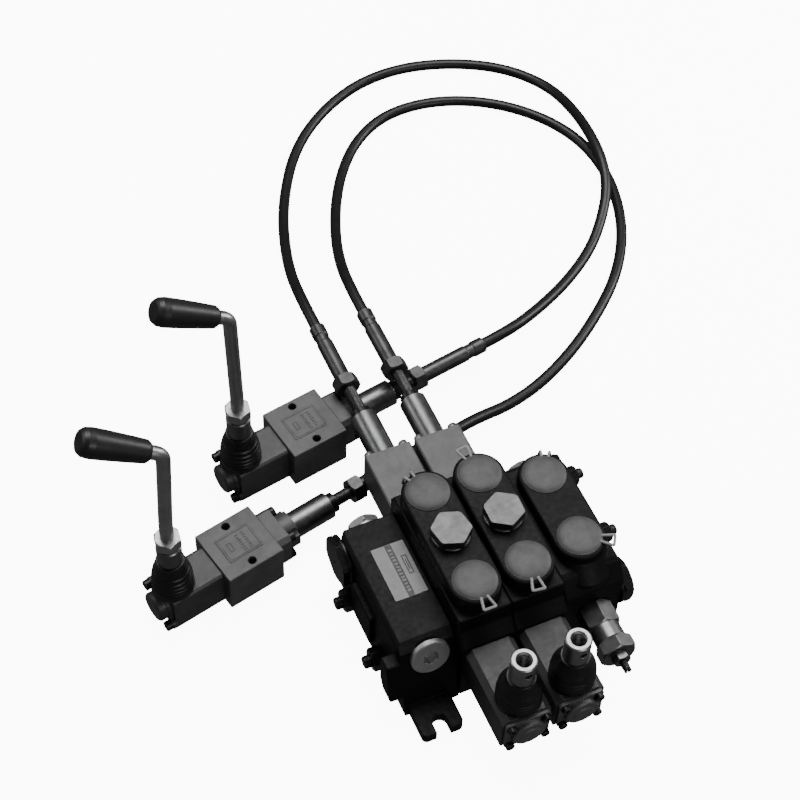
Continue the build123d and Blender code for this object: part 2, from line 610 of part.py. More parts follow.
def lever_arm():
    """Arm with a pivot hub, a ball that drives the spool, and a stem up into the socket."""
    hub = rod((0, -7, LEVER_ARM), (0, 7, LEVER_ARM), 7.0)
    stem = rod((0, 0, LEVER_ARM + 5), (0, 0, SOCKET_LOW + 8), 5.0)
    tail = rod((0, 0, 1), (0, 0, LEVER_ARM - 5), 2.6) + Sphere(4.0)
    bore = rod((0, -8, LEVER_ARM), (0, 8, LEVER_ARM), 3.0 + SPOOL_FIT)
    return hub + stem + tail - bore


def lever_socket(cross_hole):
    """Round socket with a threaded hole for a lever."""
    body = turned((0, 0, SOCKET_LOW), (0, 0, 1),
                  [(0, SOCKET_R - 1.5), (1.5, SOCKET_R), (35.0, SOCKET_R), (36.0, SOCKET_R - 1.0)])
    body -= rod((0, 0, SOCKET_LOW - 1), (0, 0, SOCKET_LOW + 8), 5.0)
    body -= rod((0, 0, 50), (0, 0, SOCKET_TOP + 1), LEVER_THREAD_R)
    body -= turned((0, 0, SOCKET_TOP - 2), (0, 0, 1), [(0, LEVER_THREAD_R), (2.1, LEVER_THREAD_R + 1.4)])
    if cross_hole:
        body -= rod((-11, 0, 65), (11, 0, 65), 3.0)
    return body


KNOB_ANGLE = 31.0             # degrees that the handle leans up from level
BEND_Z = 196.5                # height of the bend above the spool axis
LEVER_R = 5.5
BEND_R = 12.0
KNOB_GAP = 12.0


def handle_axis(name):
    """Corner of a lever's bend and the direction of its handle."""
    lean, yaw = radians(KNOB_ANGLE), radians(LEVER_YAW[name])
    x, y = LEVER_LEAN[name]
    out = Vector(cos(lean) * cos(yaw), cos(lean) * sin(yaw), sin(lean))
    return Vector(x, y, BEND_Z), out


def lever_rod(name):
    """Bent lever, turned down at its foot for the socket's thread."""
    corner, out = handle_axis(name)
    path = FilletPolyline((0, 0, SOCKET_TOP + 1), (0, 0, SOCKET_TOP + 30), tuple(corner),
                          tuple(corner + out * (KNOB_GAP + 30)), radius=[200.0, BEND_R])
    bar = sweep(Plane(origin=path @ 0, z_dir=path % 0) * Circle(LEVER_R), path=path)
    return bar + rod((0, 0, 54), (0, 0, SOCKET_TOP + 2), LEVER_THREAD_R)


def lever_lock_nut():
    """Nut that locks the lever in its socket."""
    return nut((0, 0, SOCKET_TOP + 2), (0, 0, SOCKET_TOP + 12), 19.0, LEVER_R, turn=12)


def knob(name):
    """Tapered grip on the bent end of a lever."""
    corner, out = handle_axis(name)
    start = corner + out * KNOB_GAP
    points = [(0, 7.6), (2, 8.8), (12, 9.6), (34, 11.0), (45, 11.4), (50, 10.8), (53, 9.0), (54, 7.0)]
    grip = turned(tuple(start), out, points)
    return grip - rod(tuple(start - out), tuple(start + out * 30), LEVER_R)


# ---------------------------------------------------------------- lever stations
# A station is drawn with its axis along +X, the lever side of its block at X = 0, the axis at
# Y = 0 and Z = 0 on the floor.
TUBE_FROM = 74.0
STATION_TUBE_END = 111.0
STATION_HUB_END = 117.0
STATION_NUT = (133.0, 144.0)
STATION_SLEEVE_END = 208.0


def station_place(name):
    """Where a station goes."""
    x, y, angle = STATIONS[name]
    return Location((x, y, 0), (0, 0, angle))


def station_block():
    """Block of a lever station, with two fixing holes and a raised plain panel."""
    body = block(0, STATION_L, -STATION_W / 2, STATION_W / 2, 0, STATION_H)
    body = chamfer(body.edges(), 0.6)
    for side in (-1, 1):
        y = side * STATION_HOLE_Y
        body -= rod((STATION_L / 2 - 0.2, y, -1), (STATION_L / 2 - 0.2, y, STATION_H + 1), STATION_HOLE_R)
    body -= rod((-1, 0, STATION_Z), (STATION_L + 1, 0, STATION_Z), 8.0 + SPOOL_FIT)
    panel = block(10, 41, -12, 12, STATION_H - 1, STATION_H + 0.6)
    return body + fillet(panel.edges().filter_by(Axis.Z), 1.0)


def station_flange():
    """Stepped aluminium flange that carries the cable tube."""
    plate = block(STATION_L, 63, -18.5, 18.5, 3, 38)
    plate = chamfer(plate.edges().filter_by(Axis.X), 4.0)
    plate += rod((62, 0, STATION_Z), (TUBE_FROM, 0, STATION_Z), 15.5)
    plate -= rod((50, 0, STATION_Z), (66, 0, STATION_Z), 8.5)
    plate -= rod((65, 0, STATION_Z), (TUBE_FROM + 1, 0, STATION_Z), 7.0)
    for y, z in flange_screw_spots():
        plate -= rod((50, y, z), (64, y, z), 2.6)
        plate -= rod((63, y, z), (TUBE_FROM + 1, y, z), 5.0)
    return plate


def flange_screw_spots():
    """Screw places of a station flange."""
    return [(14.2, 32.2), (-14.2, 32.2), (14.2, 8.8), (-14.2, 8.8)]


def flange_screws():
    """Cap screws of a station flange."""
    return [socket_screw(63, y, z, 2.6, 4.4, 5.0, 11) for y, z in flange_screw_spots()]


def station_slider():
    """Slider driven by the lever, with the pull rod of the cable."""
    body = turned((STATION_PIVOT - 7.5, 0, STATION_Z), (1, 0, 0),
                  [(0, 7.2), (0.8, 8.0), (98, 8.0), (99, 7.0), (99, CORE_R), (165, CORE_R)])
    return body - lever_slot(Location((STATION_PIVOT, 0, STATION_Z), (0, 0, 180)))


# ---------------------------------------------------------------- cable ends
def cable_tube(start, end, spigot):
    """Thick tube between a housing and the cable's hub; its spigot fills the housing's hole."""
    axis = (Vector(*end) - Vector(*start)).normalized()
    tube = pipe(start, end, TUBE_R, THREAD_R)
    return tube + pipe(tuple(Vector(*start) - axis * spigot[0]), start, spigot[1], THREAD_R)


def cable_hub(start, hub_end, thread_end):
    """Shoulder and threaded hub of a cable, bored for the pull rod."""
    hub = pipe(start, hub_end, HUB_R, CORE_R + 0.6)
    return hub + pipe(hub_end, thread_end, THREAD_R, CORE_R + 0.6)


def cable_sleeve(start, end):
    """Steel sleeve crimped on the end of a cable."""
    axis = Vector(*end) - Vector(*start)
    length = axis.length
    sleeve = turned(start, axis, [(0, SLEEVE_R - 0.8), (0.8, SLEEVE_R), (length - 19, SLEEVE_R),
                                  (length - 18, SLEEVE_R - 0.7), (length - 12, SLEEVE_R - 0.7),
                                  (length - 11, SLEEVE_R), (length - 1, SLEEVE_R),
                                  (length, SLEEVE_R - 1.0)])
    axis = axis.normalized()
    return sleeve - rod(start, tuple(Vector(*start) + axis * 8), THREAD_R)


def valve_cable_end(x):
    """Tube, hub, nut and sleeve behind one spring housing."""
    at = [(x, y, SPOOL_Z) for y in (HOUSING_BACK, TUBE_END, HUB_END, NUT_START, SLEEVE_START, SLEEVE_END)]
    tube = cable_tube(at[0], at[1], (8.0, 9.0))
    hub = cable_hub(at[1], at[2], (x, SLEEVE_START + 8, SPOOL_Z))
    lock = nut(at[3], at[4], 20.0, THREAD_R, turn=30, x_dir=(0, 0, 1))
    return tube, hub, lock, cable_sleeve(at[4], at[5])


def station_cable_end():
    """Tube, hub, nut and sleeve of a station."""
    spots = (TUBE_FROM, STATION_TUBE_END, STATION_HUB_END, *STATION_NUT, STATION_SLEEVE_END)
    at = [(s, 0, STATION_Z) for s in spots]
    tube = cable_tube(at[0], at[1], (8.0, 7.0))
    hub = cable_hub(at[1], at[2], (STATION_NUT[1] + 8, 0, STATION_Z))
    lock = nut(at[3], at[4], 20.0, THREAD_R, turn=30, x_dir=(0, 0, 1))
    return tube, hub, lock, cable_sleeve(at[4], at[5])


def station_point(name, along, up=STATION_Z):
    """World point on a station's axis."""
    x, y, angle = STATIONS[name]
    a = radians(angle)
    return (x + along * cos(a), y + along * sin(a), up)


# Routes of the two cables, from the station's sleeve to the valve's sleeve.
CABLE_A = [station_point("far", STATION_SLEEVE_END), station_point("far", 234.0),
           (172, 235, 14), (217, 260, 6), (257, 288, 5), (284, 317, 11), (301, 343, 19),
           (309, 372, 25), (313, 405, 25), (317, 441, 17), (316, 482, 8), (300, 515, 5),
           (273, 540, 5), (233, 560, 5), (189, 570, 5), (145, 566, 5), (106, 549, 5),
           (74, 526, 5), (49, 499, 5), (29, 467, 6), (11, 430, 10), (-3, 390, 18),
           (-15, 347, 32), (SECTION_X[1], 304, SPOOL_Z), (SECTION_X[1], SLEEVE_END, SPOOL_Z)]
CABLE_B = [station_point("near", STATION_SLEEVE_END), station_point("near", 234.0),
           (78, 151, 13), (110, 157, 6), (147, 168, 5), (189, 190, 5), (229, 219, 5),
           (263, 250, 5), (289, 286, 5), (306, 325, 5), (315, 368, 5), (312, 412, 5),
           (294, 452, 5), (262, 487, 5), (222, 510, 5), (181, 519, 5), (143, 514, 5),
           (109, 493, 5), (82, 461, 6), (61, 424, 10), (44, 384, 19), (31, 345, 33),
           (SECTION_X[2], 304, SPOOL_Z), (SECTION_X[2], SLEEVE_END, SPOOL_Z)]
CORNER_SHARE = 0.45


def corner_radii(points):
    """Arc radius at each inner point: 0.45 of the shorter run over the tangent of half the turn."""
    radii = []
    for before, here, after in zip(points, points[1:], points[2:]):
        a = Vector(*here) - Vector(*before)
        b = Vector(*after) - Vector(*here)
        turn = radians(a.get_angle(b))
        radii.append(CORNER_SHARE * min(a.length, b.length) / tan(turn / 2))
    return radii


def cable(name, points):
    """Plain cable along its route of straight runs and tangent arcs."""
    radii = corner_radii(points)
    path = FilletPolyline(*points, radius=radii)
    tube = sweep(Plane(origin=path @ 0, z_dir=path % 0) * Circle(CABLE_R), path=path)
    ratio = tube.volume / (pi * CABLE_R ** 2 * path.length)
    print(name, "length %.1f mm" % path.length, "volume ratio %.4f" % ratio,
          "radii", " ".join("%.0f" % r for r in radii))
    return tube


# ---------------------------------------------------------------- relief valve
def relief_at(distance):
    """Point on the relief valve's axis, this far in front of the inlet section."""
    return (RELIEF_X, RELIEF_FRONT - distance, RELIEF_Z)


def relief_body():
    """Cartridge body of the relief valve and its lock nut."""
    axis = (0, -1, 0)
    body = rod(relief_at(-34), relief_at(44), 9.0) + rod(relief_at(-34), relief_at(0), RELIEF_BORE_R)
    body += nut(relief_at(0), relief_at(19.5), 26.0, 2.0)
    body += turned(relief_at(19.5), axis, [(0, 12.3), (13, 12.3)])
    body += nut(relief_at(32.5), relief_at(44.5), 27.0, 2.0)
    body -= rod(relief_at(-35), relief_at(38), RELIEF_CAVITY_R)
    body -= rod(relief_at(-35), relief_at(45), RELIEF_SCREW_R + SPOOL_FIT)
    lock = nut(relief_at(44.5), relief_at(50.5), 13.0, RELIEF_SCREW_R + SPOOL_FIT, turn=30)
    return group(body, lock)


def relief_adjuster():
    """Adjusting screw with a screwdriver slot."""
    screw = rod(relief_at(30), relief_at(59), RELIEF_SCREW_R)
    end = RELIEF_FRONT - 59
    return screw - block(RELIEF_X - 0.6, RELIEF_X + 0.6, end - 1, end + 2, RELIEF_Z - 5, RELIEF_Z + 5)


def relief_seat():
    """Spring seat pushed by the adjusting screw."""
    return pipe(relief_at(26), relief_at(30), RELIEF_CAVITY_R - SPOOL_FIT, 1.0)


def relief_poppet():
    """Poppet of the relief valve."""
    return turned(relief_at(-35), (0, -1, 0),
                  [(0, 3.0), (3, 5.0), (5, 6.0), (7, 6.0), (7, 2.6), (16, 2.6)])


def relief_spring():
    """Spring between the poppet and its seat."""
    return spring(relief_at(-27.9), (0, -1, 0), 4.4, 1.0, 53.8, 8)


# ---------------------------------------------------------------- assembly
def build_valve():
    """Sections, fasteners and the pieces inside them."""
    add("end_section", end_section())
    add("work_section_1", working_section(1))
    add("work_section_2", working_section(2))
    add("inlet_section", inlet_section())
    add("tie_rods", tie_rods())
    add("tie_rod_nuts", tie_rod_nuts())
    add("section_seals", section_seals())
    add("name_plate", name_plate())
    add("socket_plug", socket_plug())
    add("side_plugs", side_plugs())
    add("rear_plugs", rear_plugs())
    add("port_cap_a1", port_cap(SECTION_X[1], PORT_Y, RIDGE_Z, 112, folded=True))
    add("port_cap_b1", port_cap(SECTION_X[1], -PORT_Y, RIDGE_Z, -90))
    add("port_cap_a2", port_cap(SECTION_X[2], PORT_Y, RIDGE_Z, 97))
    add("port_cap_b2", port_cap(SECTION_X[2], -PORT_Y, RIDGE_Z, -98))
    add("port_cap_p", port_cap(INLET_X, INLET_PORTS[0], INLET_RIDGE_Z, 62, folded=True))
    add("port_cap_t", port_cap(INLET_X, INLET_PORTS[1], INLET_RIDGE_Z, -32))
    add("check_plugs", check_plugs())
    for index, x in SECTION_X.items():
        add("check_poppet_%d" % index, check_poppet(x))
        add("check_spring_%d" % index, check_spring(x))
        add("spool_%d" % index, spool(x))
        add("spool_hardware_%d" % index, spool_hardware(x))
        add("centring_spring_%d" % index, centring_spring(x))
    add("rear_blocks", group(*[rear_block(x) for x in SECTION_X.values()]))
    add("relief_body", relief_body())
    add("relief_adjuster", relief_adjuster())
    add("relief_seat", relief_seat())
    add("relief_poppet", relief_poppet())
    add("relief_spring", relief_spring())


def build_levers():
    """The four lever units: two on the valve and two on the stations."""
    for index in SECTION_X:
        place = lever_place(index)
        add("lever_box_%d" % index, place * valve_lever_box())
        add("lever_socket_%d" % index, group(place * lever_arm(), place * lever_socket(True)))
    names = [1, 2, "near", "far"]
    add("pivot_pins", group(*[lever_place(name) * pivot_pin() for name in names]))
    add("lever_boots", group(*[lever_place(name) * boot_ring() for name in names]))
    add("valve_end_plates", group(*[lever_place(name) * valve_end_plate() for name in (1, 2)]))
    screws = [lever_place(name) * screw for name in names for screw in end_screws(name)]
    screws += [station_place(name) * screw for name in STATIONS for screw in flange_screws()]
    add("box_screws", group(*screws))


def build_stations():
    """The two remote stations."""
    boxes, flanges = [], []
    for name in STATIONS:
        lever, station = lever_place(name), station_place(name)
        add("station_block_" + name, station * station_block())
        boxes += [lever * station_lever_box(), lever * station_end_flange()]
        flanges.append(station * station_flange())
        add("slider_" + name, station * station_slider())
        add("station_socket_" + name, group(lever * lever_arm(), lever * lever_socket(False)))
        add("lever_rod_" + name, group(lever * lever_rod(name), lever * lever_lock_nut()))
        add("knob_" + name, lever * knob(name))
    add("station_boxes", group(*boxes))
    add("station_flanges", group(*flanges))


def build_cables():
    """Cable ends and the two cables."""
    ends = [valve_cable_end(x) for x in SECTION_X.values()]
    for name in STATIONS:
        place = station_place(name)
        ends.append(tuple(place * piece for piece in station_cable_end()))
    for position, node in enumerate(("conduit_tubes", "cable_hubs", "cable_nuts", "cable_sleeves")):
        add(node, group(*[end[position] for end in ends]))
    add("cable_a", cable("cable_a", CABLE_A))
    add("cable_b", cable("cable_b", CABLE_B))


def write_parts():
    """One STEP file for each node."""
    os.makedirs("parts", exist_ok=True)
    for name, shape in NODES.items():
        export_step(shape, "parts/%s.step" % name)
    print(len(NODES), "nodes")


build_valve()
build_levers()
build_stations()
build_cables()
write_parts()
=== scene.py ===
import json
from math import cos, pi, radians, sin, sqrt

import bmesh
import bpy
from mathutils import Matrix, Vector


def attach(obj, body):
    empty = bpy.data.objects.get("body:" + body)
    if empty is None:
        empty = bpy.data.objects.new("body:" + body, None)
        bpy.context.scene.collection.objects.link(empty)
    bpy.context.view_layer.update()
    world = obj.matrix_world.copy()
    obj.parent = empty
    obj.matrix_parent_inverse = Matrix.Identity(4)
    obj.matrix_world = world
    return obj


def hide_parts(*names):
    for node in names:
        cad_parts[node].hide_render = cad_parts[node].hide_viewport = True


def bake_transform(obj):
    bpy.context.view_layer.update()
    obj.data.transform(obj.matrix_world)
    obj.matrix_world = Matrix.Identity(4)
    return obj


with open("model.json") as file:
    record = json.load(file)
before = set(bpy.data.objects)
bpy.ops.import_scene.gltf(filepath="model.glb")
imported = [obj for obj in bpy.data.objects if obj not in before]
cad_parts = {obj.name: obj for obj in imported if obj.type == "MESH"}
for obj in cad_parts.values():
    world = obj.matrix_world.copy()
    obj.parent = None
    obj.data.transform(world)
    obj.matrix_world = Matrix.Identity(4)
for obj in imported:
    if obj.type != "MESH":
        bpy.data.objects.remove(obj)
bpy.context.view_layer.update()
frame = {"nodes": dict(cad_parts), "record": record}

MM = 0.001

# ---------------------------------------------------------------- camera
# The camera looks down at the valve from its front left, a little rolled.
CAMERA_AZIMUTH = radians(-25.95)
CAMERA_ELEVATION = radians(53.62)
CAMERA_ROLL = radians(2.64)
CAMERA_DISTANCE = 1.45692
CAMERA_AIM = Vector((-0.0259, 0.0904, 0.1687))
CAMERA_LENS = 86.9


def add_camera():
    """Camera high in front of the valve, aimed just above the stack of sections."""
    back = Vector((sin(CAMERA_AZIMUTH) * cos(CAMERA_ELEVATION),
                   -cos(CAMERA_AZIMUTH) * cos(CAMERA_ELEVATION),
                   sin(CAMERA_ELEVATION)))
    level = Vector((cos(CAMERA_AZIMUTH), sin(CAMERA_AZIMUTH), 0.0))
    steep = back.cross(level)
    right = cos(CAMERA_ROLL) * level + sin(CAMERA_ROLL) * steep
    up = cos(CAMERA_ROLL) * steep - sin(CAMERA_ROLL) * level
    data = bpy.data.cameras.new("camera")
    data.lens = CAMERA_LENS
    data.clip_end = 20.0
    camera = bpy.data.objects.new("camera", data)
    bpy.context.scene.collection.objects.link(camera)
    turn = Matrix((right, up, back)).transposed().to_4x4()
    camera.matrix_world = Matrix.Translation(CAMERA_AIM + back * CAMERA_DISTANCE) @ turn
    bpy.context.scene.camera = camera


# ---------------------------------------------------------------- cables
CABLE_R = 5.0 * MM
SECTION_X = {1: -22.0 * MM, 2: 22.0 * MM}
SPOOL_Z = 48.0 * MM
STATION_HEIGHT = 20.5         # axis of a station above the floor, in millimetres
STATION_Z = STATION_HEIGHT * MM
STATIONS = {"near": (-184.0, 90.1, 12.4), "far": (-92.0, 180.3, 9.9)}


def station_matrix(name):
    """Frame of a station: X along its axis towards the cable, the floor at Z = 0."""
    x, y, angle = STATIONS[name]
    return Matrix.Translation((x * MM, y * MM, 0.0)) @ Matrix.Rotation(radians(angle), 4, "Z")


def station_point(name, along):
    """Point in millimetres on a station's axis."""
    x, y, angle = STATIONS[name]
    a = radians(angle)
    return (x + along * cos(a), y + along * sin(a), STATION_HEIGHT)


CABLE_A = [station_point("far", 208.0), station_point("far", 234.0),
           (172, 235, 14), (217, 260, 6), (257, 288, 5), (284, 317, 11), (301, 343, 19),
           (309, 372, 25), (313, 405, 25), (317, 441, 17), (316, 482, 8), (300, 515, 5),
           (273, 540, 5), (233, 560, 5), (189, 570, 5), (145, 566, 5), (106, 549, 5),
           (74, 526, 5), (49, 499, 5), (29, 467, 6), (11, 430, 10), (-3, 390, 18),
           (-15, 347, 32), (-22, 304, 48), (-22, 268, 48)]
CABLE_B = [station_point("near", 208.0), station_point("near", 234.0),
           (78, 151, 13), (110, 157, 6), (147, 168, 5), (189, 190, 5), (229, 219, 5),
           (263, 250, 5), (289, 286, 5), (306, 325, 5), (315, 368, 5), (312, 412, 5),
           (294, 452, 5), (262, 487, 5), (222, 510, 5), (181, 519, 5), (143, 514, 5),
           (109, 493, 5), (82, 461, 6), (61, 424, 10), (44, 384, 19), (31, 345, 33),
           (22, 304, 48), (22, 268, 48)]


def add_cable(name, node, points):
    """One push-pull cable on a smooth curve."""
    data = bpy.data.curves.new(name, "CURVE")
    data.dimensions = "3D"
    data.bevel_depth = CABLE_R
    data.bevel_resolution = 8
    data.resolution_u = 24
    data.use_fill_caps = True
    spline = data.splines.new("NURBS")
    spline.points.add(len(points) - 1)
    for point, place in zip(spline.points, points):
        point.co = (place[0] * MM, place[1] * MM, place[2] * MM, 1.0)
    spline.order_u = 3
    spline.use_endpoint_u = True
    piece = bpy.data.objects.new(name, data)
    bpy.context.scene.collection.objects.link(piece)
    piece.data.materials.append(MATERIALS["cable_jacket"])
    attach(piece, "valve")
    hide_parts(node)


# ---------------------------------------------------------------- materials
class Shader:
    """A Principled material and short ways to add nodes to it."""

    def __init__(self, name, colour, metallic, roughness):
        self.material = bpy.data.materials.new(name)
        self.material.use_nodes = True
        self.tree = self.material.node_tree
        self.bsdf = self.tree.nodes["Principled BSDF"]
        self.bsdf.inputs["Base Color"].default_value = (*colour, 1.0)
        self.bsdf.inputs["Metallic"].default_value = metallic
        self.bsdf.inputs["Roughness"].default_value = roughness
        self.place = self.node("ShaderNodeTexCoord").outputs["Object"]

    def node(self, kind, **values):
        """New node with its properties set."""
        made = self.tree.nodes.new(kind)
        for key, value in values.items():
            setattr(made, key, value)
        return made

    def link(self, source, target):
        """Join two sockets."""
        self.tree.links.new(source, target)

    def noise(self, scale, detail=4.0, stretch=None):
        """Noise in object space, with features of about 1 / scale metres."""
        made = self.node("ShaderNodeTexNoise")
        made.inputs["Scale"].default_value = scale
        made.inputs["Detail"].default_value = detail
        source = self.place
        if stretch:
            mapping = self.node("ShaderNodeMapping")
            mapping.inputs["Scale"].default_value = stretch
            self.link(source, mapping.inputs["Vector"])
            source = mapping.outputs["Vector"]
        self.link(source, made.inputs["Vector"])
        return made.outputs["Fac"]

    def spread(self, source, low, high, start=0.3, end=0.7):
        """Map a factor to a range of values."""
        made = self.node("ShaderNodeMapRange")
        made.inputs["From Min"].default_value = start
        made.inputs["From Max"].default_value = end
        made.inputs["To Min"].default_value = low
        made.inputs["To Max"].default_value = high
        self.link(source, made.inputs["Value"])
        return made.outputs["Result"]

    def mix(self, factor, first, second):
        """Mix two colours by a factor."""
        made = self.node("ShaderNodeMix", data_type="RGBA")
        self.link(factor, made.inputs["Factor"])
        for value, socket in ((first, made.inputs[6]), (second, made.inputs[7])):
            if isinstance(value, bpy.types.NodeSocket):
                self.link(value, socket)
            else:
                socket.default_value = (*value, 1.0)
        return made.outputs[2]

    def colour(self, source):
        """Drive the base colour."""
        self.link(source, self.bsdf.inputs["Base Color"])

    def roughness(self, source, low, high):
        """Drive the roughness between two values."""
        self.link(self.spread(source, low, high), self.bsdf.inputs["Roughness"])

    def bump(self, source, strength, distance, below=None):
        """Add a bump, on top of another one."""
        made = self.node("ShaderNodeBump")
        made.inputs["Strength"].default_value = strength
        made.inputs["Distance"].default_value = distance
        self.link(source, made.inputs["Height"])
        if below:
            self.link(below, made.inputs["Normal"])
        self.link(made.outputs["Normal"], self.bsdf.inputs["Normal"])
        return made.outputs["Normal"]

    def soft_edges(self, radius):
        """Normal that rounds sharp edges, and a mask that is 1 on them."""
        bevel = self.node("ShaderNodeBevel", samples=6)
        bevel.inputs["Radius"].default_value = radius
        geometry = self.node("ShaderNodeNewGeometry")
        dot = self.node("ShaderNodeVectorMath", operation="DOT_PRODUCT")
        self.link(bevel.outputs["Normal"], dot.inputs[0])
        self.link(geometry.outputs["True Normal"], dot.inputs[1])
        mask = self.spread(dot.outputs["Value"], 1.0, 0.0, 0.80, 0.99)
        return bevel.outputs["Normal"], mask


def casting_paint():
    """Satin black paint over a sand casting, thin and brighter along its edges: wear and a painted
    highlight.
    """
    shader = Shader("casting_paint", (0.0030, 0.0030, 0.0031), 0.0, 0.5)
    shader.bsdf.inputs["Specular IOR Level"].default_value = 0.15
    normal, edge = shader.soft_edges(1.4 * MM)
    dust = shader.spread(shader.noise(45.0, 5.0), 0.0, 1.0, 0.35, 0.75)
    body = shader.mix(dust, (0.0030, 0.0030, 0.0031), (0.0062, 0.0062, 0.0064))
    # Painted highlight and wear: the edge mask times patchy noise brightens the paint on edges.
    wear_and_highlight = shader.node("ShaderNodeMath", operation="MULTIPLY")
    shader.link(edge, wear_and_highlight.inputs[0])
    shader.link(shader.spread(shader.noise(200.0, 6.0), 0.0, 0.5, 0.45, 0.75), wear_and_highlight.inputs[1])
    shader.colour(shader.mix(wear_and_highlight.outputs["Value"], body, (0.050, 0.050, 0.051)))
    shader.roughness(shader.noise(280.0, 6.0), 0.42, 0.58)
    coarse = shader.bump(shader.noise(260.0, 3.0), 0.22, 0.20 * MM, normal)
    shader.bump(shader.noise(1500.0, 3.0), 0.20, 0.06 * MM, coarse)
    return shader.material


def black_steel():
    """Black oxide on fasteners, with a painted glint along its edges."""
    shader = Shader("black_steel", (0.008, 0.008, 0.008), 0.30, 0.32)
    normal, edge = shader.soft_edges(0.45 * MM)
    # Painted glint: the colour turns light grey on the edge mask.
    painted_glint = shader.spread(edge, 0.0, 0.6, 0.0, 1.0)
    shader.colour(shader.mix(painted_glint, (0.008, 0.008, 0.008), (0.12, 0.12, 0.12)))
    shader.roughness(shader.noise(450.0, 5.0), 0.26, 0.40)
    shader.bump(shader.noise(1500.0, 2.0), 0.05, 0.03 * MM, normal)
    return shader.material


def plated(name, dark, bright, low, high, edge_radius):
    """Zinc plate: cloudy colour, fine marks, softly broken edges and a painted highlight along
    them.
    """
    shader = Shader(name, bright, 1.0, low)
    normal, edge = shader.soft_edges(edge_radius)
    cloud = shader.spread(shader.noise(75.0, 5.0), 0.0, 1.0, 0.3, 0.7)
    body = shader.mix(cloud, dark, bright)
    # Painted highlight: a brighter zinc colour on the edge mask.
    zinc_edge_highlight = tuple(min(1.0, c * 1.9) for c in bright)
    shader.colour(shader.mix(shader.spread(edge, 0.0, 0.7, 0.0, 1.0), body, zinc_edge_highlight))
    shader.roughness(shader.noise(240.0, 5.0), low, high)
    shader.bump(shader.noise(700.0, 3.0), 0.04, 0.03 * MM, normal)
    return shader.material


def aluminium(name, dark, light, edge_highlight_colour, low, high, stretch=None):
    """Fine cast or milled aluminium with a thin grey finish, softly broken edges and a painted
    highlight along them.
    """
    shader = Shader(name, light, 0.35, low)
    shader.bsdf.inputs["Specular IOR Level"].default_value = 0.35
    normal, edge = shader.soft_edges(0.8 * MM)
    cloud = shader.spread(shader.noise(60.0, 6.0), 0.0, 1.0, 0.3, 0.7)
    body = shader.mix(cloud, dark, light)
    # Painted highlight: the colour turns to the edge highlight colour on the edge mask.
    shader.colour(shader.mix(shader.spread(edge, 0.0, 0.55, 0.0, 1.0), body, edge_highlight_colour))
    shader.roughness(shader.noise(260.0, 6.0, stretch), low, high)
    shader.bump(shader.noise(1200.0, 4.0, stretch), 0.12, 0.05 * MM, normal)
    return shader.material


def plastic(name, dark, light, low, high, grain):
    """Moulded plastic with a fine grain."""
    shader = Shader(name, light, 0.0, low)
    cloud = shader.spread(shader.noise(120.0, 4.0), 0.0, 1.0, 0.3, 0.7)
    shader.colour(shader.mix(cloud, dark, light))
    shader.roughness(shader.noise(500.0, 4.0), low, high)
    shader.bump(shader.noise(2200.0, 2.0), grain, 0.04 * MM)
    return shader.material


def rubber(name):
    """Oily black rubber with a faint dusty bloom."""
    shader = Shader(name, (0.004, 0.004, 0.004), 0.0, 0.4)
    bloom = shader.spread(shader.noise(120.0, 6.0), 0.0, 1.0, 0.5, 0.85)
    shader.colour(shader.mix(bloom, (0.0035, 0.0035, 0.0035), (0.008, 0.008, 0.008)))
    shader.roughness(shader.noise(420.0, 4.0), 0.30, 0.48)
    shader.bump(shader.noise(1500.0, 3.0), 0.10, 0.04 * MM)
    return shader.material


def floor_paper():
    """Plain pale backdrop, lit from behind like a light table, with a barely visible tooth."""
    shader = Shader("floor_paper", (0.93, 0.93, 0.93), 0.0, 0.8)
    shader.colour(shader.mix(shader.noise(30.0, 3.0), (0.925, 0.925, 0.925), (0.935, 0.935, 0.935)))
    shader.bsdf.inputs["Specular IOR Level"].default_value = 0.0
    shader.bsdf.inputs["Emission Color"].default_value = (1.0, 1.0, 1.0, 1.0)
    shader.bsdf.inputs["Emission Strength"].default_value = 10.0
    return shader.material


